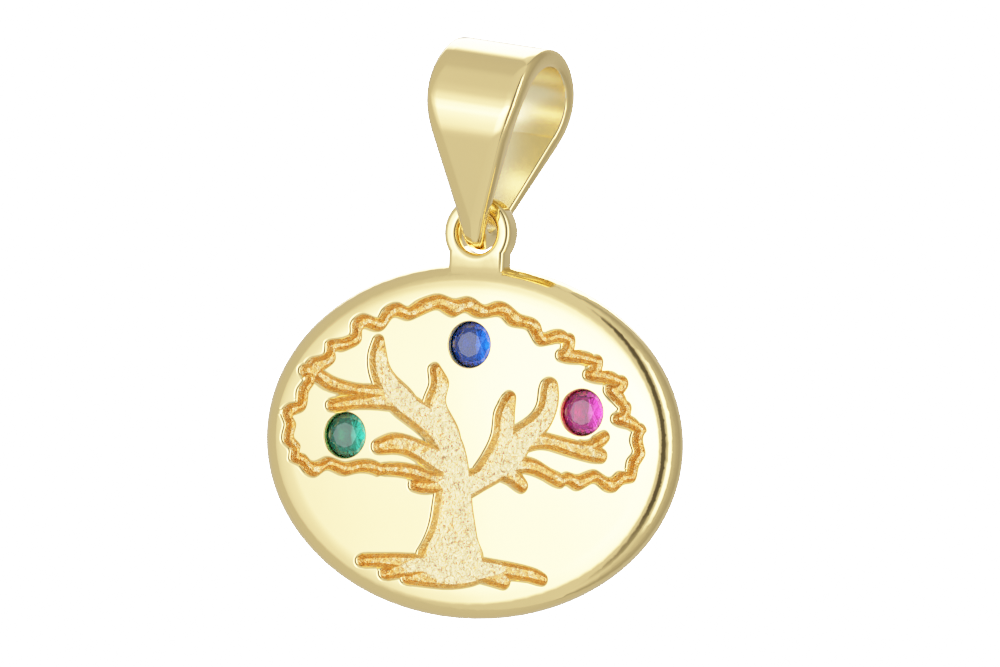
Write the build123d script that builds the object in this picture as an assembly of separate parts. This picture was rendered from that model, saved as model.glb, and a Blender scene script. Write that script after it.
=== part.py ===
from build123d import *
import os
from math import asin, cos, pi, sin

# Tree of life pendant: an oval gold medallion with a sunk tree and leaf line, three faceted
# stones and a soldered ring, hanging in a folded, tapered bail.
# Millimetres. +Z is up, +X is right, and the face looks along -Y.
# The origin is the seat of the chain, on the inside of the bail's crown.

# Medallion
disc_width = 15.46
disc_height = 12.04
disc_thickness = 1.05
front_edge_radius = 0.6
back_edge_radius = 0.3

# Sunk tree and leaf line: a polished shoulder as wide as it is deep slopes from the face to the rim of
# a steeper wall, which runs inwards to the floor
engraving_depth = 0.36
engraving_shoulder = 0.1
engraving_wall_run = 0.13
narrowest_floor = 0.04
shoulder_cut_over = 0.03

# Round brilliant stones
stone_diameter = 1.5
stone_table_share = 0.58
stone_crown_height = 0.2
stone_girdle = 0.07
stone_pavilion_depth = 0.5
stone_recess = 0.03
stone_clearance = 0.03
seat_bevel = 0.05
seat_tip_radius = 0.04

# Ring soldered to the top of the medallion, on a foot of solder between the two
ring_hole_diameter = 1.42
ring_wire_width = 0.53
ring_wire_depth = 0.84
ring_corner_radius = 0.2
ring_sink = 0.18
ring_foot_width = 2.06
ring_foot_sink = 0.3

# Bail: a tapered strip folded into a drop that passes through the ring
bail_crown_inner_radius = 1.82
bail_crown_thickness = 0.6
bail_crown_rise = 3.31
bail_foot_radius = 0.84
bail_foot_gap = 0.12
bail_foot_width = 0.5
bail_neck_width = 1.2
bail_neck_rise = -0.04
bail_crown_width = 3.54
bail_full_width_rise = 3.68
bail_outline_bend_radius = 6.0
bail_outer_edge_radius = 0.2
bail_lean = 6.2

# The medallion swings about a line a little under the middle of the ring's wire, because the wire
# curves down on both sides of the bail; the bail stays this clear of the wire
hinge_below_wire = 0.2
swing_clearance = 0.28

# The drawing was laid out on a disc this wide and this high: its tables hold shares of that layout
DRAWING_WIDTH = 1.54
DRAWING_HEIGHT = 1.204

# The drawing stands a little left of the middle of the face
drawing_shift = -0.16

# Tree: each row is a point of a branch's centre line, from its root to its tip
# (share across, share up, half width as a share)
BRANCHES = {
    "trunk": [
        (-0.022, -0.375, 0.118),
        (-0.021, -0.340, 0.100),
        (-0.020, -0.280, 0.081),
        (-0.023, -0.200, 0.068),
        (-0.022, -0.140, 0.062),
        (-0.030, -0.095, 0.055),
    ],
    "root_base": [
        (-0.182, -0.474, 0.019),
        (-0.120, -0.467, 0.030),
        (-0.040, -0.460, 0.040),
        (0.035, -0.450, 0.040),
        (0.100, -0.430, 0.036),
    ],
    "root_left_tip": [
        (-0.060, -0.440, 0.045),
        (-0.150, -0.425, 0.032),
        (-0.230, -0.420, 0.025),
        (-0.300, -0.420, 0.021),
        (-0.353, -0.424, 0.019),
    ],
    "root_left_lobe": [
        (-0.120, -0.430, 0.035),
        (-0.200, -0.442, 0.028),
        (-0.262, -0.461, 0.021),
    ],
    "root_right_lobe": [
        (0.080, -0.430, 0.035),
        (0.140, -0.448, 0.034),
        (0.176, -0.466, 0.025),
    ],
    "root_right_tip": [
        (0.050, -0.425, 0.040),
        (0.130, -0.425, 0.028),
        (0.220, -0.432, 0.025),
        (0.285, -0.441, 0.022),
        (0.320, -0.452, 0.019),
    ],
    "left_limb": [
        (-0.015, -0.170, 0.050),
        (-0.030, -0.100, 0.058),
        (-0.050, -0.025, 0.054),
        (-0.105, 0.040, 0.050),
        (-0.180, 0.088, 0.046),
        (-0.250, 0.124, 0.038),
    ],
    "left_inner_twig": [
        (-0.055, 0.000, 0.050),
        (-0.095, 0.080, 0.045),
        (-0.107, 0.140, 0.037),
        (-0.094, 0.190, 0.033),
        (-0.112, 0.236, 0.021),
    ],
    "left_outer_twig": [
        (-0.210, 0.115, 0.040),
        (-0.285, 0.175, 0.042),
        (-0.322, 0.235, 0.036),
        (-0.330, 0.295, 0.028),
        (-0.328, 0.323, 0.020),
    ],
    "left_upper_finger": [
        (-0.250, 0.148, 0.030),
        (-0.360, 0.153, 0.020),
        (-0.450, 0.161, 0.020),
        (-0.510, 0.176, 0.023),
        (-0.555, 0.200, 0.020),
    ],
    "left_lower_finger": [
        (-0.240, 0.125, 0.036),
        (-0.340, 0.122, 0.025),
        (-0.430, 0.111, 0.021),
        (-0.493, 0.100, 0.019),
    ],
    "left_middle_limb": [
        (-0.040, -0.085, 0.042),
        (-0.120, -0.058, 0.038),
        (-0.200, -0.026, 0.031),
        (-0.260, -0.020, 0.031),
        (-0.308, -0.032, 0.024),
    ],
    "left_low_limb": [
        (-0.030, -0.140, 0.035),
        (-0.100, -0.133, 0.022),
        (-0.170, -0.115, 0.021),
        (-0.240, -0.107, 0.020),
        (-0.310, -0.110, 0.012),
    ],
    "left_stub": [
        (-0.050, -0.150, 0.030),
        (-0.110, -0.158, 0.022),
        (-0.166, -0.157, 0.020),
    ],
    "right_limb": [
        (-0.010, -0.160, 0.045),
        (0.050, -0.137, 0.040),
        (0.110, -0.100, 0.042),
        (0.170, -0.050, 0.050),
        (0.205, 0.000, 0.048),
    ],
    "right_inner_twig": [
        (0.080, -0.100, 0.030),
        (0.125, -0.040, 0.036),
        (0.152, 0.030, 0.037),
        (0.155, 0.100, 0.034),
        (0.170, 0.152, 0.022),
    ],
    "right_outer_twig": [
        (0.175, -0.030, 0.045),
        (0.225, 0.025, 0.045),
        (0.282, 0.075, 0.038),
        (0.311, 0.130, 0.034),
        (0.316, 0.195, 0.031),
    ],
    "right_finger": [
        (0.190, 0.005, 0.035),
        (0.290, 0.016, 0.026),
        (0.390, -0.001, 0.025),
        (0.460, -0.014, 0.027),
        (0.515, -0.025, 0.022),
    ],
    "right_finger_tip": [
        (0.450, 0.002, 0.020),
        (0.498, 0.018, 0.019),
        (0.525, 0.038, 0.018),
    ],
    "right_low_limb": [
        (0.130, -0.090, 0.036),
        (0.210, -0.070, 0.026),
        (0.280, -0.078, 0.023),
        (0.335, -0.103, 0.020),
        (0.370, -0.117, 0.020),
    ],
    "right_stub": [
        (0.150, -0.085, 0.034),
        (0.195, -0.113, 0.027),
        (0.228, -0.139, 0.022),
    ],
}

# Leaf line round the crown of the tree, clockwise from the low left limb to the low right one: the
# last row of each run is narrow, to end inside the round start of the next
# (share across, share up, half width as a share)
LEAF_LINE = {
    "scallops": [
        (-0.310, -0.110, 0.019),
        (-0.355, -0.101, 0.019),
        (-0.400, -0.107, 0.018),
        (-0.432, -0.115, 0.019),
        (-0.470, -0.106, 0.018),
        (-0.505, -0.100, 0.018),
        (-0.545, -0.121, 0.022),
        (-0.575, -0.114, 0.020),
        (-0.600, -0.092, 0.018),
        (-0.625, -0.082, 0.019),
        (-0.625, -0.055, 0.018),
        (-0.650, -0.028, 0.019),
        (-0.652, 0.002, 0.018),
        (-0.648, 0.030, 0.018),
        (-0.662, 0.060, 0.019),
        (-0.640, 0.082, 0.018),
        (-0.612, 0.094, 0.018),
        (-0.607, 0.122, 0.019),
        (-0.602, 0.150, 0.018),
        (-0.583, 0.180, 0.018),
        (-0.580, 0.208, 0.025),
        (-0.565, 0.232, 0.028),
        (-0.530, 0.248, 0.021),
        (-0.508, 0.272, 0.019),
        (-0.508, 0.298, 0.020),
        (-0.480, 0.306, 0.018),
        (-0.442, 0.316, 0.018),
        (-0.414, 0.338, 0.020),
        (-0.414, 0.368, 0.020),
        (-0.392, 0.391, 0.021),
        (-0.358, 0.385, 0.019),
        (-0.325, 0.385, 0.019),
        (-0.307, 0.410, 0.019),
        (-0.285, 0.431, 0.020),
        (-0.255, 0.433, 0.020),
        (-0.225, 0.424, 0.019),
        (-0.195, 0.437, 0.021),
        (-0.150, 0.459, 0.022),
        (-0.110, 0.468, 0.022),
        (-0.078, 0.457, 0.024),
        (-0.050, 0.450, 0.026),
        (-0.010, 0.463, 0.022),
        (0.025, 0.452, 0.023),
        (0.060, 0.442, 0.018),
        (0.100, 0.452, 0.020),
        (0.132, 0.450, 0.021),
        (0.163, 0.428, 0.023),
        (0.195, 0.415, 0.018),
        (0.232, 0.408, 0.018),
        (0.258, 0.383, 0.020),
        (0.275, 0.359, 0.019),
        (0.310, 0.364, 0.018),
        (0.352, 0.369, 0.018),
        (0.380, 0.357, 0.012),
    ],
    "zag_upper": [
        (0.381, 0.358, 0.019),
        (0.375, 0.328, 0.020),
        (0.357, 0.307, 0.012),
    ],
    "zig_second": [
        (0.357, 0.307, 0.018),
        (0.430, 0.302, 0.018),
        (0.486, 0.289, 0.012),
    ],
    "zag_second": [
        (0.486, 0.289, 0.020),
        (0.480, 0.265, 0.020),
        (0.461, 0.246, 0.012),
    ],
    "zig_third": [
        (0.461, 0.246, 0.018),
        (0.540, 0.237, 0.018),
        (0.580, 0.221, 0.012),
    ],
    "zag_third": [
        (0.580, 0.221, 0.022),
        (0.562, 0.203, 0.021),
        (0.540, 0.197, 0.012),
    ],
    "zig_fourth": [
        (0.540, 0.197, 0.019),
        (0.574, 0.168, 0.020),
        (0.598, 0.139, 0.012),
    ],
    "zag_fourth": [
        (0.598, 0.139, 0.020),
        (0.590, 0.112, 0.019),
        (0.571, 0.102, 0.012),
    ],
    "zig_fifth": [
        (0.571, 0.102, 0.018),
        (0.620, 0.090, 0.018),
        (0.656, 0.067, 0.012),
    ],
    "side_and_low_scallops": [
        (0.656, 0.067, 0.019),
        (0.648, 0.022, 0.019),
        (0.657, -0.010, 0.019),
        (0.641, -0.036, 0.019),
        (0.634, -0.062, 0.018),
        (0.628, -0.088, 0.019),
        (0.596, -0.095, 0.019),
        (0.570, -0.117, 0.021),
        (0.540, -0.118, 0.019),
        (0.498, -0.096, 0.018),
        (0.455, -0.112, 0.020),
        (0.428, -0.119, 0.022),
        (0.395, -0.108, 0.018),
        (0.370, -0.117, 0.012),
    ],
    "left_lobe": [
        (-0.568, 0.222, 0.014),
        (-0.600, 0.213, 0.021),
    ],
}

# Stones: share across and share up of the centre
STONES = {
    "blue_stone": (0.0145, 0.328),
    "green_stone": (-0.4365, 0.000),
    "pink_stone": (0.442, 0.1175),
}

# Places worked out from the sizes, measured from the middle of the medallion
face_y = -disc_thickness / 2
across_unit = disc_width / DRAWING_WIDTH
up_unit = disc_height / DRAWING_HEIGHT
ring_hole_radius = ring_hole_diameter / 2
ring_outer_radius = ring_hole_radius + ring_wire_width
ring_z = disc_height / 2 + ring_outer_radius - ring_sink
hinge_z = ring_z + ring_hole_radius + ring_wire_width / 2 - hinge_below_wire
foot_drop = hinge_z - (ring_z - ring_hole_radius) - bail_foot_gap
cut_over = 0.1


def sides(rows, inset):
    """Both sides of a branch, drawn in by the inset, with rounded ends."""
    points = [Vector(x * across_unit + drawing_shift, z * up_unit) for x, z, share in rows]
    widths = [max(share * across_unit - inset, narrowest_floor) for x, z, share in rows]
    left = []
    right = []
    for index, point in enumerate(points):
        before = points[max(index - 1, 0)]
        after = points[min(index + 1, len(points) - 1)]
        along = Vector(0, 0)
        if index > 0:
            along += (point - before).normalized()
        if index < len(points) - 1:
            along += (after - point).normalized()
        along = along.normalized()
        aside = Vector(-along.Y, along.X) * widths[index]
        left.append(point + aside)
        right.append(point - aside)
        if index == 0:
            start = rounded_end(point, -along, widths[index])
        if index == len(points) - 1:
            end = rounded_end(point, along, widths[index])
    return left + end + right[::-1] + start


def rounded_end(point, along, radius):
    """Three points of the half circle that closes a branch."""
    aside = Vector(-along.Y, along.X)
    slant = cos(pi / 4)
    return [
        point + (along + aside) * (radius * slant),
        point + along * radius,
        point + (along - aside) * (radius * slant),
    ]


def outline(rows, inset, depth, steps):
    """Closed curve round a branch at a depth below the face."""
    y = face_y + depth
    points = [Vector(point.X, y, point.Y) for point in sides(rows, inset)]
    return Edge.make_spline(points, periodic=True, parameters=steps)


def outline_steps(rows):
    """Distance along the outline at the face, which every depth shares."""
    points = sides(rows, 0)
    steps = [0.0]
    for point, following in zip(points, points[1:] + points[:1]):
        steps.append(steps[-1] + (following - point).length)
    return steps


def sunk_branch(rows):
    """Solid to cut away: a sloping shoulder, a steeper wall and a flat floor."""
    steps = outline_steps(rows)
    above = outline(rows, -engraving_shoulder - shoulder_cut_over, -shoulder_cut_over, steps)
    rim = outline(rows, 0, engraving_shoulder, steps)
    floor = outline(rows, engraving_wall_run, engraving_depth, steps)
    shoulder = Face.make_surface_from_curves(above, rim)
    wall = Face.make_surface_from_curves(rim, floor)
    return Solid(Shell([shoulder, wall, Face(Wire([above])), Face(Wire([floor]))]))


def disc():
    """Oval plate with a soft front edge."""
    blank = extrude(Plane.XZ * Ellipse(disc_width / 2, disc_height / 2), disc_thickness / 2, both=True)
    front_edges = blank.faces().sort_by(Axis.Y)[0].edges()
    blank = fillet(front_edges, front_edge_radius)
    back_edges = blank.faces().sort_by(Axis.Y)[-1].edges()
    return fillet(back_edges, back_edge_radius)


def ring():
    """Ring of flat wire with rounded corners, standing on the rim of the medallion on a solder foot."""
    section = Plane.XY * Pos(ring_hole_radius + ring_wire_width / 2, 0) * RectangleRounded(
        ring_wire_width, ring_wire_depth, ring_corner_radius
    )
    foot_low = disc_height / 2 - ring_foot_sink
    foot = Pos(0, 0, (foot_low + ring_z) / 2) * Box(ring_foot_width, ring_wire_depth, ring_z - foot_low)
    foot = fillet(foot.edges().filter_by(Axis.Z), ring_corner_radius)
    bore = Plane.XZ * Cylinder(ring_outer_radius - ring_corner_radius, ring_wire_depth + cut_over)
    foot -= Pos(0, 0, ring_z) * bore
    return Pos(0, 0, ring_z) * revolve(section, Axis.Y) + foot


def stone_place(name):
    """Middle of a stone's girdle plane, level with the face."""
    across, up = STONES[name]
    return Pos(across * across_unit + drawing_shift, face_y, up * up_unit)


def stone_seat(name):
    """Bore and cone that hold a stone with clearance all round."""
    bore_radius = stone_diameter / 2 + stone_clearance
    bore_depth = stone_recess + stone_crown_height + stone_girdle + stone_clearance
    cone_depth = stone_pavilion_depth * bore_radius / (stone_diameter / 2) + stone_clearance
    bore = Plane.XZ * extrude(Circle(bore_radius), cut_over)
    bore += Plane.XZ * extrude(Circle(bore_radius), -bore_depth)
    mouth = Plane.XZ * Pos(0, 0, cut_over / 2 - seat_bevel / 2) * Cone(
        bore_radius, bore_radius + seat_bevel + cut_over, seat_bevel + cut_over
    )
    cone = Plane.XZ * Pos(0, 0, -bore_depth - cone_depth / 2) * Cone(
        seat_tip_radius, bore_radius, cone_depth
    )
    return stone_place(name) * (bore + mouth + cone)


def turned(radius, height, eighths):
    """Point at a radius and height, turned by a number of eighths of a circle."""
    angle = eighths * pi / 4
    return Vector(radius * cos(angle), radius * sin(angle), height)


def stone(name):
    """Round brilliant: table, stars, kites, girdle and pavilion, pointing at the face."""
    radius = stone_diameter / 2
    table_radius = radius * stone_table_share
    star_radius = (radius + table_radius) / 2
    lower_radius = radius / 4
    half_turn = cos(pi / 8)
    star_height = stone_crown_height * (radius - star_radius * half_turn) / (radius - table_radius)
    lower_height = stone_pavilion_depth * (1 - lower_radius * half_turn / radius)
    culet = Vector(0, 0, -stone_girdle - stone_pavilion_depth)
    facets = [[turned(table_radius, stone_crown_height, k) for k in range(8)]]
    for k in range(8):
        table_left = turned(table_radius, stone_crown_height, k)
        table_right = turned(table_radius, stone_crown_height, k + 1)
        star_before = turned(star_radius, star_height, k - 0.5)
        star = turned(star_radius, star_height, k + 0.5)
        rim = [turned(radius, 0, k + share) for share in (0, 0.5, 1)]
        rim_below = [point - Vector(0, 0, stone_girdle) for point in rim]
        lower_before = turned(lower_radius, -stone_girdle - lower_height, k - 0.5)
        lower = turned(lower_radius, -stone_girdle - lower_height, k + 0.5)
        facets.append([table_left, table_right, star])
        facets.append([table_left, star_before, rim[0], star])
        facets.append([star, rim[0], rim[1]])
        facets.append([star, rim[1], rim[2]])
        facets.append([rim[0], rim[1], rim_below[1], rim_below[0]])
        facets.append([rim[1], rim[2], rim_below[2], rim_below[1]])
        facets.append([lower, rim_below[0], rim_below[1]])
        facets.append([lower, rim_below[1], rim_below[2]])
        facets.append([culet, lower_before, rim_below[0], lower])
    faces = [Face(Wire.make_polygon(points)) for points in facets]
    gem = Solid(Shell(faces))
    sink = stone_recess + stone_crown_height
    return stone_place(name) * (Plane.XZ * (Pos(0, 0, -sink) * gem))


def medallion():
    """Plate and ring in one piece, with the tree, the leaf line and the seats sunk into the face."""
    plate = disc() + ring()
    for name in STONES:
        plate -= stone_seat(name)
    for rows in (*BRANCHES.values(), *LEAF_LINE.values()):
        plate -= sunk_branch(rows)
    return plate


def drop_shape(top_z, top_radius, bottom_z, bottom_radius):
    """Drop seen from the side: two circles and the straight lines that touch both."""
    lean = asin((top_radius - bottom_radius) / (top_z - bottom_z))
    corners = []
    for z, radius in ((top_z, top_radius), (bottom_z, bottom_radius)):
        corners.append((radius * cos(lean), z - radius * sin(lean)))
    (top_y, top_touch), (bottom_y, bottom_touch) = corners
    over = ThreePointArc((top_y, top_touch), (0, top_z + top_radius), (-top_y, top_touch))
    under = ThreePointArc((-bottom_y, bottom_touch), (0, bottom_z - bottom_radius), (bottom_y, bottom_touch))
    down = Line((-top_y, top_touch), (-bottom_y, bottom_touch))
    up = Line((bottom_y, bottom_touch), (top_y, top_touch))
    return make_face([over, down, under, up])


def bail():
    """Folded strip, wide over the crown and narrow through the ring, drawn round the hinge line."""
    seat_radius = ring_wire_depth / 2 + swing_clearance
    crown_radius = bail_crown_inner_radius + bail_crown_thickness
    outside = drop_shape(bail_crown_rise, crown_radius, bail_foot_radius - foot_drop, bail_foot_radius)
    inside = drop_shape(bail_crown_rise, bail_crown_inner_radius, 0, seat_radius)
    top = bail_crown_rise + crown_radius + cut_over
    right_side = [
        (bail_foot_width / 2, -foot_drop - cut_over),
        (bail_neck_width / 2, bail_neck_rise),
        (bail_crown_width / 2, bail_full_width_rise),
        (bail_crown_width / 2, top),
    ]
    left_side = [(-x, z) for x, z in reversed(right_side)]
    front = make_face(Polyline(*right_side, *left_side, close=True))
    bends = [corner for corner in front.vertices() if -foot_drop < corner.Y < top - cut_over]
    front = fillet(bends, bail_outline_bend_radius)
    drop = extrude(Plane.YZ * outside, bail_crown_width, both=True)
    drop &= extrude(Plane.XZ * front, crown_radius + cut_over, both=True)
    rims = [edge for edge in drop.edges().filter_by(Axis.Y, reverse=True) if abs(edge.center().X) > cut_over]
    drop = fillet(rims, bail_outer_edge_radius)
    return drop - extrude(Plane.YZ * inside, bail_crown_width, both=True)


# Places of the bail and of the chain's seat, then the whole part moved so that the seat is its origin
bail_place = Pos(0, 0, ring_z) * Rot(0, bail_lean, 0) * Pos(0, 0, hinge_z - ring_z)
chain_seat = (bail_place * Pos(0, 0, bail_crown_rise + bail_crown_inner_radius)).position
to_seat = Pos(-chain_seat)

if __name__ == "__main__":
    nodes = {"medallion": medallion(), "bail": bail_place * bail()}
    nodes.update({name: stone(name) for name in STONES})
    os.makedirs("parts", exist_ok=True)
    for name, shape in nodes.items():
        export_step(to_seat * shape, f"parts/{name}.step")
    print("hinge line:", (to_seat * bail_place).position)
    print("middle of the medallion:", to_seat.position)
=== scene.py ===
"""Oval gold medallion with a sunk tree and three cut stones, hanging in a folded bail."""

from math import cos, exp, pi, radians, sin

import bpy
from mathutils import Matrix, Vector
from mathutils.kdtree import KDTree


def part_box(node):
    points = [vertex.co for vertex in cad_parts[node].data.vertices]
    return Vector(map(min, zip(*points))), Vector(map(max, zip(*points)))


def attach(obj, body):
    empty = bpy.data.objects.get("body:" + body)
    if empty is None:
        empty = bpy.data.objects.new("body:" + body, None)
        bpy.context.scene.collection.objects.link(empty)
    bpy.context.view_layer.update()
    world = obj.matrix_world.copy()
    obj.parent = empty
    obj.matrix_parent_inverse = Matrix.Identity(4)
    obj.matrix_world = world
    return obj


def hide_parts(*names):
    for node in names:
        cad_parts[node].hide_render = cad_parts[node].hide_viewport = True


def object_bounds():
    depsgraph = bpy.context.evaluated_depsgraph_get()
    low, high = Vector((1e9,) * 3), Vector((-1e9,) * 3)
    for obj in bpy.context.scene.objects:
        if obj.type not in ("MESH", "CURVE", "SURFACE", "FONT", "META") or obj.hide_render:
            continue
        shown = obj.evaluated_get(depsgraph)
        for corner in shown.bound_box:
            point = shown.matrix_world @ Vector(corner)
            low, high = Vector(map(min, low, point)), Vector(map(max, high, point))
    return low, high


bl_info = {
    "name": "Tree Medallion",
    "version": (1, 0, 0),
    "blender": (4, 5, 0),
    "location": "View3D > Sidebar > Medallion",
    "description": "Finishes a gold tree medallion, its bail, its stones and a plain studio",
    "category": "Object",
}

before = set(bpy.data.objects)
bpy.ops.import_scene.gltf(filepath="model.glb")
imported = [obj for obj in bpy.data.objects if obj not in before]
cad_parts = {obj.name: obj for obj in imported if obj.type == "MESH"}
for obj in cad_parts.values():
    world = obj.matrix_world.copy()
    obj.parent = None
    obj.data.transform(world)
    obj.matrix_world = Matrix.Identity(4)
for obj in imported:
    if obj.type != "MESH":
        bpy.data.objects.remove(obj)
frame_low, frame_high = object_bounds()

MM = 0.001
DEGREES = 180 / pi

# Plate of the medallion. Its width and depth are read from the frame. Its height is given, because the
# frame's box also holds the ring on its top
plate_low, plate_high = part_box("medallion")
PLATE_WIDTH = plate_high.x - plate_low.x
PLATE_HEIGHT = 12.04 * MM
PLATE_DEPTH = plate_high.y - plate_low.y
PLATE_MIDDLE = Vector((
    (plate_low.x + plate_high.x) / 2,
    (plate_low.y + plate_high.y) / 2,
    plate_low.z + PLATE_HEIGHT / 2,
))
FACE_Y = plate_low.y
RIM_ROUND = 0.6 * MM

# Roundness that buffing gives the plate: a very slight dome, and a slope that starts this far inside
# the line where the rim rounds
DOME_TILT = 0.0087 / MM
BUFFED_WIDTH = 0.5 * MM
BUFFED_SLOPE = 0.12

# Depths of the sunk tree, and how far a face may lie from the level that it counts to
SHOULDER_DEPTH = 0.1 * MM
FLOOR_Y = FACE_Y + 0.36 * MM
LEVEL_REACH = 0.004 * MM

# A flat face, and a floor face, has more than this share of its normal along the plate's depth
FLAT_FACING = 0.999
FLOOR_FACING = 0.9

# Room round a stone that still belongs to its bore
SEAT_MARGIN = 0.12 * MM

# Floor faces whose middle is this near a wall get more of the orange painted shade; the wall's foot is
# sampled in small steps
NARROW_REACH = 0.13 * MM
WALL_STEP = 0.04 * MM

# Material slots of the medallion; the narrow floor's slot paints more shade near the walls
POLISH, WALL, FLOOR, SHADED_NARROW_FLOOR = range(4)

# Middle line of the opening in the bail, from its foot to its crown
BAIL_FOOT_Z = -5.1 * MM
BAIL_CROWN_Z = -1.82 * MM

# Outline of the bail's leaf: it leans, its foot lies left of the chain's seat, and it widens upwards
BAIL_LEAN = radians(6.2)
BAIL_FOOT_X = -0.554 * MM
BAIL_NECK_HALF = 0.6 * MM
BAIL_CROWN_HALF = 1.77 * MM
BAIL_WIDENING = 0.318
LEAF_BUFFED_WIDTH = 0.5 * MM
LEAF_BUFFED_SLOPE = 0.45

# Faces of the bail: a face of the strip has less than this share of its normal sideways, and a broad
# one has more than this area. The rims get soft in this many steps
SIDE_FACING = 0.2
BROAD_AREA = 0.05 * MM * MM
SOFT_RIM_STEPS = 3

# Corners of the frame's triangles that lie nearer than this are one
WELD_REACH = 0.001 * MM

# Polished gold: its clouds, haze and waves, and how much they change its tint, roughness and height
CLOUD_SIZE = 1.4 * MM
HAZE_SIZE = 0.5 * MM
WAVE_SIZE = 1.1 * MM
TINT_SPREAD = 0.015
HAZE_SPREAD = 0.03
WAVE_HEIGHT = 0.002 * MM

# Patterns of the bail's lining and of the stones
LINING_CLOUD_SIZE = 1.0 * MM
LINING_SHADES = (0.97, 1.03)
STONE_CLOUD_SIZE = 0.5 * MM
STONE_SHADES = (0.8, 1.25)

# Blasted grain: size of its grit and lumps in grains, and how much pits, grit and lumps count
GRIT_SIZE = 0.8
LUMP_SIZE = 2.2
PIT_WEIGHT = 0.5
GRIT_WEIGHT = 0.9
LUMP_WEIGHT = 1.4

# Blasted gold: size of its patterns in grains. Of the pairs of noise values that follow, the first
# three turn the orange painted shade of the recess into pale gold, and the last turns gold into a speck
WALL_GRAIN_SIZE = 0.7
WALL_GLOW_SIZE = 1.1
FLOOR_GLOW_SIZE = 1.7
SPECK_SIZE = 1.1
WALL_GLOW = (0.50, 0.64)
FLOOR_GLOW = (0.26, 0.48)
NARROW_GLOW = (0.44, 0.66)
SPECKS = (0.62, 0.68)

# Factors that lighten the orange painted shade and the pale gold on the floor
FLOOR_PAINTED_SHADE_FACTOR = 1.05
FLOOR_PALE_SHADE = 1.04

# Roughness, and how much a speck, a pale place and a cloud change it
FLOOR_ROUGHNESS = 0.12
SPECK_ROUGHENING = 0.2
WALL_ROUGHNESS = 0.34
GLOW_SMOOTHING = 0.14
LINING_ROUGHNESS = 0.22
CLOUD_ROUGHENING = 0.06

# Height of the blasted grain on the walls, on the floor and on its narrow places
WALL_GRAIN_HEIGHT = 0.05 * MM
FLOOR_GRAIN_HEIGHT = 0.055 * MM
NARROW_GRAIN_HEIGHT = 0.06 * MM

# Light tent: stops of angle in degrees and brightness. Azimuth 0 is straight in front of the face and
# 90 is to its right; elevation 90 is overhead. The key, strip and roof add to the cloth, and the slit
# takes its share away
CLOTH_AROUND = (
    (-180, 0.85), (-120, 0.9), (-55, 0.95), (-35, 1.2), (0, 1.25),
    (42, 1.3), (92, 0.9), (118, 0.65), (141, 0.55), (165, 0.85), (180, 0.85))
STRIP_ACROSS = ((55, 0.0), (67, 5.5), (74, 5.5), (86, 0.0))
STRIP_UP = ((-50, 0.0), (-25, 1.0), (35, 1.0), (60, 0.0))
KEY_ACROSS = ((-50, 0.0), (-38, 0.25), (-27, 0.8), (-23, 1.3), (-14, 1.8), (-7, 1.8), (8, 0.0))
KEY_UP = ((-38, 0.0), (-18, 2.3), (-4, 3.3), (2, 4.6), (8, 3.4), (16, 1.3), (30, 0.2), (42, 0.0))
ROOF_ACROSS = ((-180, 0.8), (-155, 1.0), (-142, 1.0), (-120, 0.0))
ROOF_UP = ((14, 0.0), (30, 7.5), (54, 7.5), (68, 0.8), (85, 0.4))
SLIT_ACROSS = ((13, 0.0), (26, 0.9), (41, 0.9), (55, 0.0))
SLIT_UP = ((-75, 0.0), (-45, 0.75), (-22, 1.0), (58, 1.0), (74, 0.0))
DARKEST = 0.03

# Scale of the picture at the medallion, in pixels for a millimetre
PICTURE_SCALE = 29.5

# Response of the film: share of full white for a share of the brightest light that it holds
FILM_WHITE = 8.0
FILM_STOPS = (0.008, 0.016, 0.03, 0.05, 0.08, 0.12, 0.18, 0.27, 0.4, 0.6, 0.8)

WHITE = (1.0, 1.0, 1.0, 1.0)
PALE = (0.9, 0.9, 0.89, 1.0)

# Stones, with the names of their materials
STONES = {"blue_stone": "blue_gem", "green_stone": "green_gem", "pink_stone": "pink_gem"}


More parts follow.
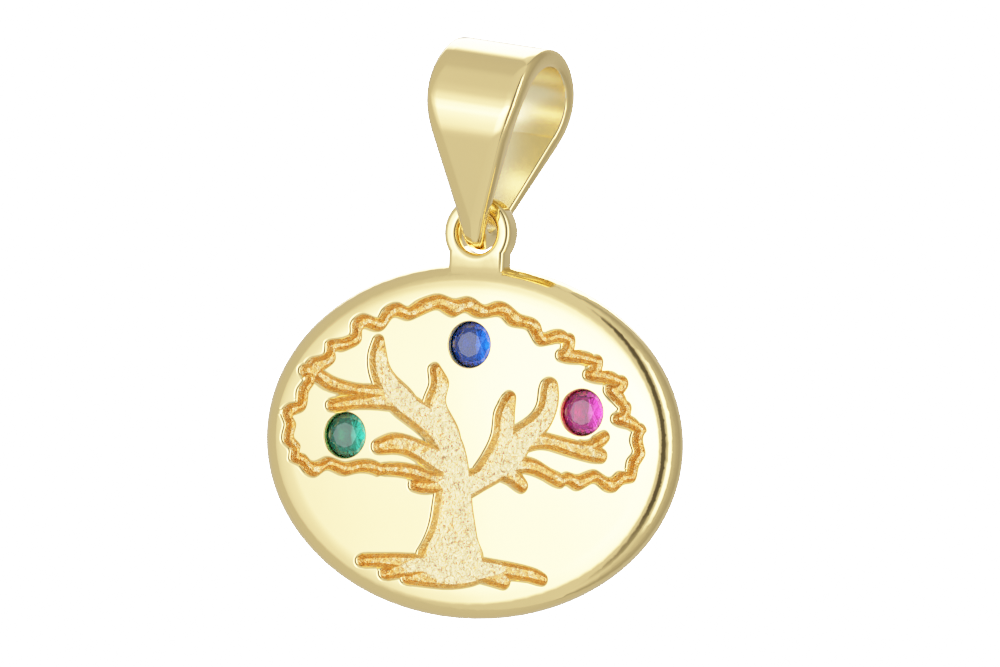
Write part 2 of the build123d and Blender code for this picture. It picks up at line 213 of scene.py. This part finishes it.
class Finish(bpy.types.PropertyGroup):
    """Colours and surface values of the metal and the stones"""

    gold: bpy.props.FloatVectorProperty(
        name="Polished gold", description="Colour of the polished gold", subtype="COLOR",
        size=3, min=0, max=1, default=(0.95, 0.695, 0.275))
    # Orange gold painted as shade and bounced light of the sunk tree: on its walls, on the floor near
    # them and in random patches on the floor
    recess_shade_gold: bpy.props.FloatVectorProperty(
        name="Recess shade gold", description="Orange gold painted as shade and bounced light in the sunk tree", subtype="COLOR",
        size=3, min=0, max=1, default=(0.82, 0.46, 0.13))
    floor_gold: bpy.props.FloatVectorProperty(
        name="Floor gold", description="Pale blasted gold of the floor of the tree", subtype="COLOR",
        size=3, min=0, max=1, default=(0.94, 0.74, 0.36))
    lining_gold: bpy.props.FloatVectorProperty(
        name="Lining gold", description="Paler gold inside the bail", subtype="COLOR",
        size=3, min=0, max=1, default=(0.97, 0.82, 0.46))
    speck: bpy.props.FloatVectorProperty(
        name="Speck", description="Brown of the pits in the blasted gold", subtype="COLOR",
        size=3, min=0, max=1, default=(0.42, 0.22, 0.07))
    blue: bpy.props.FloatVectorProperty(
        name="Blue stone", description="Body colour of the blue stone", subtype="COLOR",
        size=3, min=0, max=1, default=(0.006, 0.06, 0.42))
    green: bpy.props.FloatVectorProperty(
        name="Green stone", description="Body colour of the green stone", subtype="COLOR",
        size=3, min=0, max=1, default=(0.015, 0.22, 0.14))
    pink: bpy.props.FloatVectorProperty(
        name="Pink stone", description="Body colour of the pink stone", subtype="COLOR",
        size=3, min=0, max=1, default=(0.45, 0.03, 0.26))
    polish_roughness: bpy.props.FloatProperty(
        name="Polish", description="Roughness of the polished gold", min=0, max=1, default=0.07)
    grain: bpy.props.FloatProperty(
        name="Grain", description="Width of one grain of the blasted gold", subtype="DISTANCE",
        min=0, default=0.12 * MM, precision=5)
    rim_bevel: bpy.props.FloatProperty(
        name="Rim bevel", description="Width of the soft edge of the opening in the bail",
        subtype="DISTANCE", min=0, default=0.18 * MM, precision=5)
    smooth_angle: bpy.props.FloatProperty(
        name="Smooth angle", description="Edges sharper than this stay sharp", subtype="ANGLE",
        default=radians(50))


class Studio(bpy.types.PropertyGroup):
    """Camera and light of the studio"""

    azimuth: bpy.props.FloatProperty(
        name="Azimuth", description="How far the camera stands to the right of the face",
        subtype="ANGLE", default=radians(25))
    roll: bpy.props.FloatProperty(
        name="Roll", description="How far the medallion leans to the right in the picture",
        subtype="ANGLE", default=radians(2.66))
    distance: bpy.props.FloatProperty(
        name="Distance", description="From the camera to the middle of the medallion",
        subtype="DISTANCE", default=0.3)
    lens: bpy.props.FloatProperty(
        name="Lens", description="Focal length in millimetres", default=318.6)
    aim_right: bpy.props.FloatProperty(
        name="Aim right", description="How far right of the medallion the camera aims",
        subtype="DISTANCE", default=28.6 / PICTURE_SCALE * MM, precision=5)
    aim_up: bpy.props.FloatProperty(
        name="Aim up", description="How far above the medallion the camera aims",
        subtype="DISTANCE", default=107.9 / PICTURE_SCALE * MM, precision=5)
    floor_drop: bpy.props.FloatProperty(
        name="Floor", description="How far the floor lies under the pendant", subtype="DISTANCE",
        default=0.06)
    floor_radius: bpy.props.FloatProperty(
        name="Floor radius", description="Radius of the round floor", subtype="DISTANCE", default=4.0)
    backdrop: bpy.props.FloatProperty(
        name="Backdrop", description="Brightness of the plain white that the camera sees", min=0,
        default=20.0)


class Term:
    """A number socket that takes part in sums, as a Python expression."""

    def __init__(self, shader, socket):
        self.shader = shader
        self.socket = socket

    def __add__(self, other):
        return self.shader.math("ADD", self, other)

    def __radd__(self, other):
        return self.shader.math("ADD", other, self)

    def __sub__(self, other):
        return self.shader.math("SUBTRACT", self, other)

    def __rsub__(self, other):
        return self.shader.math("SUBTRACT", other, self)

    def __mul__(self, other):
        return self.shader.math("MULTIPLY", self, other)

    def __rmul__(self, other):
        return self.shader.math("MULTIPLY", other, self)

    def __truediv__(self, other):
        return self.shader.math("DIVIDE", self, other)

    def __rtruediv__(self, other):
        return self.shader.math("DIVIDE", other, self)

    def __neg__(self):
        return self.shader.math("MULTIPLY", self, -1.0)

    def step(self, low, high):
        """Smooth step from zero at low to one at high."""
        settings = {"interpolation_type": "SMOOTHSTEP"}
        return self.shader.number("ShaderNodeMapRange", settings, {
            "Value": self, "From Min": low, "From Max": high, "To Min": 0.0, "To Max": 1.0})

    def within(self, high):
        """Held between zero and a high value."""
        above = self.shader.math("MAXIMUM", self, 0.0)
        return self.shader.math("MINIMUM", above, high)


class Shader:
    """Builds the nodes of one material or world."""

    def __init__(self, owner):
        owner.use_nodes = True
        self.tree = owner.node_tree
        self.tree.nodes.clear()

    def node(self, kind, settings=None, sockets=None):
        """Adds a node: its settings first, then the values or links of its sockets."""
        made = self.tree.nodes.new(kind)
        for name, value in (settings or {}).items():
            setattr(made, name, value)
        items = enumerate(sockets) if isinstance(sockets, (list, tuple)) else (sockets or {}).items()
        for key, value in items:
            if isinstance(value, Term):
                value = value.socket
            if isinstance(value, bpy.types.NodeSocket):
                self.tree.links.new(value, made.inputs[key])
            else:
                made.inputs[key].default_value = value
        return made

    def number(self, kind, settings, sockets, output=0):
        """Number term of a new node."""
        return Term(self, self.node(kind, settings, sockets).outputs[output])

    def math(self, operation, *values):
        """Math node on terms and numbers, in the order that the operation needs."""
        return self.number("ShaderNodeMath", {"operation": operation}, values)

    def place(self):
        """Position on the object, in metres."""
        return self.node("ShaderNodeTexCoord").outputs["Object"]

    def parts(self, vector):
        """Number terms for the three parts of a vector."""
        made = self.node("ShaderNodeSeparateXYZ", None, {"Vector": vector})
        return [Term(self, part) for part in made.outputs]

    def noise(self, size, detail=2.0, roughness=0.5):
        """Soft noise whose lumps are about this size."""
        return self.number("ShaderNodeTexNoise", None, {
            "Vector": self.place(), "Scale": 1 / size, "Detail": detail, "Roughness": roughness}, "Fac")

    def cells(self, size):
        """Distance from the middle of the nearest grain."""
        return self.number("ShaderNodeTexVoronoi", None, {
            "Vector": self.place(), "Scale": 1 / size}, "Distance")

    def mix(self, share, first, second):
        """Colour between two colours, which the node takes at its sockets 6 and 7."""
        made = self.node("ShaderNodeMix", {"data_type": "RGBA"}, {0: share, 6: first, 7: second})
        return made.outputs[2]

    def shades(self, share, values, darkest, lightest):
        """Colour between a darker and a lighter shade."""
        return self.mix(share, shade(values, darkest), shade(values, lightest))

    def bump(self, height, distance):
        """Normal bent by a height, which counts in lengths of this distance."""
        return self.node("ShaderNodeBump", None, {
            "Height": height, "Strength": 1.0, "Distance": distance}).outputs[0]


def colour(values):
    """Colour with full alpha."""
    return (values[0], values[1], values[2], 1.0)


def shade(values, factor):
    """Colour made lighter or darker."""
    return colour([min(value * factor, 1.0) for value in values])


def surface(name, build):
    """Material whose Principled surface takes its sockets from a function."""
    material = bpy.data.materials.new(name)
    shader = Shader(material)
    principled = shader.node("ShaderNodeBsdfPrincipled", None, build(shader))
    output = shader.node("ShaderNodeOutputMaterial")
    shader.tree.links.new(principled.outputs[0], output.inputs[0])
    return material


def squares(first, second):
    """Sum of the squares of two numbers or terms."""
    return first * first + second * second


def flat_reach(right, above):
    """Under one inside the flat of the face, one on the line where the rim starts to round.

    The place is given from the middle of the plate, as two numbers or two terms.
    """
    return squares(right / (PLATE_WIDTH / 2 - RIM_ROUND), above / (PLATE_HEIGHT / 2 - RIM_ROUND))


def buffed_plate(shader):
    """Height of the plate, which the buffing wheel has domed very slightly and rounded near its rim.

    The slope grows from nothing up to the line where the rim starts to round, and fades past it.
    """
    x, _, z = shader.parts(shader.place())
    right = x - PLATE_MIDDLE.x
    above = z - PLATE_MIDDLE.z
    dome = squares(right, above) * (DOME_TILT / 2)
    past_flat = (shader.math("SQRT", flat_reach(right, above)) - 1) * (PLATE_HEIGHT / 2)
    before = (past_flat + BUFFED_WIDTH).within(BUFFED_WIDTH)
    after = past_flat.within(RIM_ROUND)
    fall = before * before / (2 * BUFFED_WIDTH) + after - after * after / (2 * RIM_ROUND)
    return -(dome + fall * BUFFED_SLOPE)


def buffed_leaf(shader):
    """Height of the bail's leaf, which the buffing wheel has rounded along both sides."""
    x, _, z = shader.parts(shader.place())
    right = x - BAIL_FOOT_X
    above = z - BAIL_FOOT_Z
    along = right * sin(BAIL_LEAN) + above * cos(BAIL_LEAN)
    aside = right * cos(BAIL_LEAN) - above * sin(BAIL_LEAN)
    half = shader.math("MINIMUM", along * BAIL_WIDENING + BAIL_NECK_HALF, BAIL_CROWN_HALF)
    past = (shader.math("ABSOLUTE", aside) - half + LEAF_BUFFED_WIDTH).within(LEAF_BUFFED_WIDTH)
    return past * past * (-LEAF_BUFFED_SLOPE / LEAF_BUFFED_WIDTH / 2)


def polished_gold(finish, name, buffed):
    """Mirror polish with faint clouds, waves from the buffing wheel and the edges that it rounded."""
    def build(shader):
        cloud = shader.noise(CLOUD_SIZE, detail=3.0)
        haze = shader.noise(HAZE_SIZE, detail=4.0)
        height = shader.noise(WAVE_SIZE, detail=1.0) * WAVE_HEIGHT + buffed(shader)
        return {
            "Base Color": shader.shades(cloud, finish.gold, 1 - TINT_SPREAD, 1 + TINT_SPREAD),
            "Metallic": 1.0,
            "Roughness": finish.polish_roughness + (haze - 0.5) * HAZE_SPREAD,
            "Normal": shader.bump(height, 1.0),
        }
    return surface(name, build)


def blasted(shader, size):
    """Height of the blasted grain, from round pits, finer grit and broader lumps."""
    pits = shader.cells(size)
    grit = shader.noise(size * GRIT_SIZE, detail=3.0, roughness=0.6)
    lumps = shader.noise(size * LUMP_SIZE)
    return pits * PIT_WEIGHT + grit * GRIT_WEIGHT + lumps * LUMP_WEIGHT


def blasted_floor(finish, name, glow_range, height):
    """Sandblasted gold: pale, sparkling and specked with brown pits, with more or less of the orange
    painted shade of the recess.
    """
    def build(shader):
        grain = blasted(shader, finish.grain)
        speck = shader.noise(finish.grain * SPECK_SIZE, detail=3.0, roughness=0.65).step(*SPECKS)
        glow = shader.noise(finish.grain * FLOOR_GLOW_SIZE, detail=3.0, roughness=0.6).step(*glow_range)
        # Orange painted shade of the recess, in random patches and strongest on the floor near the
        # walls
        painted_shade = shade(finish.recess_shade_gold, FLOOR_PAINTED_SHADE_FACTOR)
        pale = shade(finish.floor_gold, FLOOR_PALE_SHADE)
        gold = shader.mix(glow, painted_shade, pale)
        return {
            "Base Color": shader.mix(speck, gold, colour(finish.speck)),
            "Metallic": 1.0,
            "Roughness": FLOOR_ROUGHNESS + speck * SPECK_ROUGHENING,
            "Normal": shader.bump(grain, height),
        }
    return surface(name, build)


def blasted_wall_painted_shade(finish):
    """Rough wall between the polished shoulder and the floor, painted orange as shade and bounced light
    of the recess, with paler, smoother patches.
    """
    def build(shader):
        grain = blasted(shader, finish.grain * WALL_GRAIN_SIZE)
        glow = shader.noise(finish.grain * WALL_GLOW_SIZE, detail=3.0, roughness=0.6).step(*WALL_GLOW)
        return {
            # The orange is painted shade of the recess; the glow patches show the pale floor gold
            "Base Color": shader.mix(glow, colour(finish.recess_shade_gold), colour(finish.floor_gold)),
            "Metallic": 1.0,
            "Roughness": WALL_ROUGHNESS - glow * GLOW_SMOOTHING,
            "Normal": shader.bump(grain, WALL_GRAIN_HEIGHT),
        }
    return surface("blasted_wall_painted_shade", build)


def satin_lining(finish):
    """Softer, paler gold of the inside of the bail."""
    def build(shader):
        cloud = shader.noise(LINING_CLOUD_SIZE, detail=3.0)
        return {
            "Base Color": shader.shades(cloud, finish.lining_gold, *LINING_SHADES),
            "Metallic": 1.0,
            "Roughness": LINING_ROUGHNESS + cloud * CLOUD_ROUGHENING,
        }
    return surface("satin_lining", build)


def gem(name, body):
    """Cut stone: clear, coloured and refractive."""
    def build(shader):
        cloud = shader.noise(STONE_CLOUD_SIZE)
        return {
            "Base Color": shader.shades(cloud, body, *STONE_SHADES),
            "Metallic": 0.0,
            "Roughness": 0.0,
            "IOR": 1.52,
            "Transmission Weight": 0.94,
        }
    return surface(name, build)


def only(piece):
    """Makes a piece the only selected and active object."""
    bpy.ops.object.select_all(action="DESELECT")
    piece.select_set(True)
    bpy.context.view_layer.objects.active = piece


def closed_copy(node, name):
    """Copy of a frame node with its triangles joined at their corners."""
    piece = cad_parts[node].copy()
    piece.data = piece.data.copy()
    piece.name = name
    piece.parent = None
    for key in list(piece.keys()):
        del piece[key]
    bpy.context.scene.collection.objects.link(piece)
    only(piece)
    bpy.ops.object.mode_set(mode="EDIT")
    bpy.ops.mesh.select_all(action="SELECT")
    bpy.ops.mesh.remove_doubles(threshold=WELD_REACH)
    bpy.ops.object.mode_set(mode="OBJECT")
    return piece


def dress(piece, *materials):
    """Gives a piece its materials, in the order of its slots."""
    piece.data.materials.clear()
    for material in materials:
        piece.data.materials.append(material)


def smooth(piece, angle, broad):
    """Smooth shading that stays crisp at sharp edges and takes its direction from the broad faces."""
    only(piece)
    bpy.ops.mesh.customdata_custom_splitnormals_clear()
    bpy.ops.object.shade_smooth_by_angle(angle=angle)
    weighted = piece.modifiers.new("weighted_normals", "WEIGHTED_NORMAL")
    weighted.keep_sharp = True
    bpy.ops.object.modifier_apply(modifier=weighted.name)
    bpy.ops.object.mode_set(mode="EDIT")
    bpy.ops.mesh.select_mode(type="FACE")
    bpy.ops.mesh.select_all(action="DESELECT")
    bpy.ops.object.mode_set(mode="OBJECT")
    for polygon in piece.data.polygons:
        polygon.select = broad(polygon)
    bpy.ops.object.mode_set(mode="EDIT")
    bpy.ops.mesh.set_normals_from_faces(keep_sharp=True)
    bpy.ops.object.mode_set(mode="OBJECT")


class PENDANT_OT_medallion(bpy.types.Operator):
    """Finish the medallion: polished plate and ring, blasted floor with painted shade near the walls,
    and walls painted orange as shade
    """

    bl_idname = "pendant.medallion"
    bl_label = "Medallion"

    def execute(self, context):
        finish = context.scene.pendant_finish
        piece = closed_copy("medallion", "medallion_gold")
        dress(
            piece,
            polished_gold(finish, "polished_plate", buffed_plate),
            blasted_wall_painted_shade(finish),
            blasted_floor(finish, "blasted_floor", FLOOR_GLOW, FLOOR_GRAIN_HEIGHT),
            blasted_floor(finish, "blasted_narrow_floor_painted_shade", NARROW_GLOW, NARROW_GRAIN_HEIGHT))
        seats = [self.seat(stone) for stone in STONES]
        for polygon in piece.data.polygons:
            polygon.material_index = self.region(polygon, seats)
        # Floor near the walls takes more of the orange painted shade
        for polygon in self.narrow_floor(piece.data):
            polygon.material_index = SHADED_NARROW_FLOOR
        smooth(piece, finish.smooth_angle, self.level)
        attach(piece, "pendant")
        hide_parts("medallion")
        return {"FINISHED"}

    def level(self, polygon):
        """Whether a face lies in the flat of the front or of the back."""
        height = abs(polygon.center.y - PLATE_MIDDLE.y)
        return height > PLATE_DEPTH / 2 - LEVEL_REACH and abs(polygon.normal.y) > FLAT_FACING

    def seat(self, stone):
        """Middle of the bore that holds a stone, and how far the bore reaches round it."""
        low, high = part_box(stone)
        return (low.x + high.x) / 2, (low.z + high.z) / 2, (high.x - low.x) / 2 + SEAT_MARGIN

    def region(self, polygon, seats):
        """Slot of a face: floor and walls of the tree, and polish everywhere else."""
        middle = polygon.center
        sunk = FACE_Y + SHOULDER_DEPTH - LEVEL_REACH < middle.y < FLOOR_Y + LEVEL_REACH
        if not sunk or flat_reach(middle.x - PLATE_MIDDLE.x, middle.z - PLATE_MIDDLE.z) > 1:
            return POLISH
        if any(squares(middle.x - x, middle.z - z) < reach * reach for x, z, reach in seats):
            return POLISH
        if middle.y > FLOOR_Y - LEVEL_REACH and polygon.normal.y < -FLOOR_FACING:
            return FLOOR
        return WALL

    def narrow_floor(self, mesh):
        """Floor faces whose middle lies close to the foot of a wall, which get more painted shade."""
        regions = {}
        for polygon in mesh.polygons:
            for key in polygon.edge_keys:
                regions.setdefault(key, set()).add(polygon.material_index)
        points = []
        for (first, second), found in regions.items():
            if found == {WALL, FLOOR}:
                start = mesh.vertices[first].co
                end = mesh.vertices[second].co
                count = int((end - start).length / WALL_STEP) + 1
                points += [start.lerp(end, step / count) for step in range(count + 1)]
        feet = KDTree(len(points))
        for index, point in enumerate(points):
            feet.insert(point, index)
        feet.balance()
        floor = [polygon for polygon in mesh.polygons if polygon.material_index == FLOOR]
        return [polygon for polygon in floor if feet.find(polygon.center)[2] < NARROW_REACH]


class PENDANT_OT_bail(bpy.types.Operator):
    """Finish the bail: mirror polish outside and on its rims, satin inside"""

    bl_idname = "pendant.bail"
    bl_label = "Bail"

    def execute(self, context):
        finish = context.scene.pendant_finish
        piece = closed_copy("bail", "bail_gold")
        dress(piece, polished_gold(finish, "polished_bail", buffed_leaf), satin_lining(finish))
        bevel = piece.modifiers.new("soft_rims", "BEVEL")
        bevel.width = finish.rim_bevel
        bevel.segments = SOFT_RIM_STEPS
        bevel.angle_limit = finish.smooth_angle
        bpy.ops.object.modifier_apply(modifier=bevel.name)
        for polygon in piece.data.polygons:
            polygon.material_index = int(self.inside(polygon))
        smooth(piece, finish.smooth_angle, self.broad)
        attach(piece, "bail")
        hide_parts("bail")
        return {"FINISHED"}

    def inside(self, polygon):
        """Whether a face lines the opening: it looks at the opening's middle line."""
        middle = polygon.center
        nearest = Vector((middle.x, 0, min(max(middle.z, BAIL_FOOT_Z), BAIL_CROWN_Z)))
        return abs(polygon.normal.x) < SIDE_FACING and polygon.normal.dot(nearest - middle) > 0

    def broad(self, polygon):
        """Whether a face is one of the broad ones of the strip, not of its rounded rims."""
        return abs(polygon.normal.x) < SIDE_FACING and polygon.area > BROAD_AREA


class PENDANT_OT_stones(bpy.types.Operator):
    """Give the cut stones their clear colours"""

    bl_idname = "pendant.stones"
    bl_label = "Stones"

    def execute(self, context):
        finish = context.scene.pendant_finish
        bodies = (finish.blue, finish.green, finish.pink)
        for (stone, name), body in zip(STONES.items(), bodies):
            dress(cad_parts[stone], gem(name, body))
        return {"FINISHED"}


def light_angles(shader):
    """Azimuth, to the right of the face, and elevation that the light comes from, in degrees."""
    across, along, up = shader.parts(shader.node("ShaderNodeTexCoord").outputs["Generated"])
    level = shader.math("SQRT", squares(across, along))
    azimuth = shader.math("ARCTAN2", across, -along) * DEGREES
    elevation = shader.math("ARCTAN2", up, level) * DEGREES
    return azimuth, elevation


def ramp(angle, stops):
    """Brightness that follows stops of angle and brightness, eased between them."""
    before, value = stops[0]
    total = value
    for here, following in stops[1:]:
        total = total + angle.step(before, here) * (following - value)
        before, value = here, following
    return total


def tent_light(studio):
    """World: pale cloth all round, with a bright strip on the right, a key light in front of the face
    and a bright roof behind on the left, and with a dark slit where the camera stands. The camera
    itself sees plain white behind the pendant."""
    world = bpy.data.worlds.new("light_tent")
    bpy.context.scene.world = world
    shader = Shader(world)
    azimuth, elevation = light_angles(shader)
    glow = ramp(azimuth, CLOTH_AROUND)
    for across, up in ((STRIP_ACROSS, STRIP_UP), (KEY_ACROSS, KEY_UP), (ROOF_ACROSS, ROOF_UP)):
        glow = glow + ramp(azimuth, across) * ramp(elevation, up)
    slit = ramp(azimuth, SLIT_ACROSS) * ramp(elevation, SLIT_UP)
    brightness = shader.math("MAXIMUM", glow * (1 - slit), DARKEST)
    light = shader.node("ShaderNodeBackground", None, {"Color": WHITE, "Strength": brightness})
    backdrop = shader.node("ShaderNodeBackground", None, {"Color": WHITE, "Strength": studio.backdrop})
    path = shader.node("ShaderNodeLightPath").outputs["Is Camera Ray"]
    chosen = shader.node("ShaderNodeMixShader", None, [path, light.outputs[0], backdrop.outputs[0]])
    output = shader.node("ShaderNodeOutputWorld")
    shader.tree.links.new(chosen.outputs[0], output.inputs[0])


def white_floor(studio):
    """Round pale floor under the pendant."""
    bpy.ops.object.select_all(action="DESELECT")
    bpy.ops.mesh.primitive_circle_add(
        vertices=96, radius=studio.floor_radius, fill_type="NGON",
        location=(0, 0, frame_low.z - studio.floor_drop))
    floor = bpy.context.active_object
    floor.name = "floor"
    bpy.ops.object.transform_apply(location=True, rotation=True, scale=True)

    def build(_shader):
        return {
            "Base Color": PALE,
            "Roughness": 0.9,
            "Emission Color": WHITE,
            "Emission Strength": studio.backdrop,
        }
    dress(floor, surface("pale_floor", build))
    floor.visible_glossy = False
    floor.visible_transmission = False


def photo_camera(studio):
    """Camera at the photograph's angle, lens and framing."""
    overhead = Vector((0, 0, 1))
    back = Vector((sin(studio.azimuth), -cos(studio.azimuth), 0))
    level_right = Vector((cos(studio.azimuth), sin(studio.azimuth), 0))
    right = level_right * cos(studio.roll) + overhead * sin(studio.roll)
    up = overhead * cos(studio.roll) - level_right * sin(studio.roll)
    aim = PLATE_MIDDLE + right * studio.aim_right + up * studio.aim_up
    camera = bpy.data.objects.new("camera", bpy.data.cameras.new("camera"))
    bpy.context.scene.collection.objects.link(camera)
    turn = Matrix((right, up, back)).transposed().to_4x4()
    camera.matrix_world = Matrix.Translation(aim + back * studio.distance) @ turn
    camera.data.lens = studio.lens
    camera.data.sensor_width = 36
    camera.data.clip_start = 0.01
    bpy.context.scene.camera = camera


def film_response():
    """Film curve: each colour nears full white ever more slowly, so highlights turn creamy."""
    view = bpy.context.scene.view_settings
    view.view_transform = "Standard"
    view.use_curve_mapping = True
    mapping = view.curve_mapping
    mapping.white_level = (FILM_WHITE, FILM_WHITE, FILM_WHITE)
    combined = mapping.curves[3]
    for share in FILM_STOPS:
        combined.points.new(share, 1 - exp(-FILM_WHITE * share))
    mapping.update()


class PENDANT_OT_studio(bpy.types.Operator):
    """Set up the plain floor, the light tent and the camera"""

    bl_idname = "pendant.studio"
    bl_label = "Studio"

    def execute(self, context):
        studio = context.scene.pendant_studio
        tent_light(studio)
        white_floor(studio)
        photo_camera(studio)
        film_response()
        return {"FINISHED"}


class PENDANT_PT_panel(bpy.types.Panel):
    """Sizes, colours and steps of the pendant"""

    bl_idname = "PENDANT_PT_panel"
    bl_label = "Tree Medallion"
    bl_space_type = "VIEW_3D"
    bl_region_type = "UI"
    bl_category = "Medallion"

    def draw(self, context):
        for group in (context.scene.pendant_finish, context.scene.pendant_studio):
            box = self.layout.box()
            for name in group.__annotations__:
                box.prop(group, name)
        for step in STEPS:
            self.layout.operator(step.bl_idname)


STEPS = (PENDANT_OT_medallion, PENDANT_OT_bail, PENDANT_OT_stones, PENDANT_OT_studio)
CLASSES = (Finish, Studio, *STEPS, PENDANT_PT_panel)


def register():
    for item in CLASSES:
        bpy.utils.register_class(item)
    bpy.types.Scene.pendant_finish = bpy.props.PointerProperty(type=Finish)
    bpy.types.Scene.pendant_studio = bpy.props.PointerProperty(type=Studio)


def unregister():
    del bpy.types.Scene.pendant_studio
    del bpy.types.Scene.pendant_finish
    for item in reversed(CLASSES):
        bpy.utils.unregister_class(item)


def main():
    """Builds the whole scene."""
    register()
    bpy.ops.pendant.medallion()
    bpy.ops.pendant.bail()
    bpy.ops.pendant.stones()
    bpy.ops.pendant.studio()


if __name__ == "__main__":
    main()
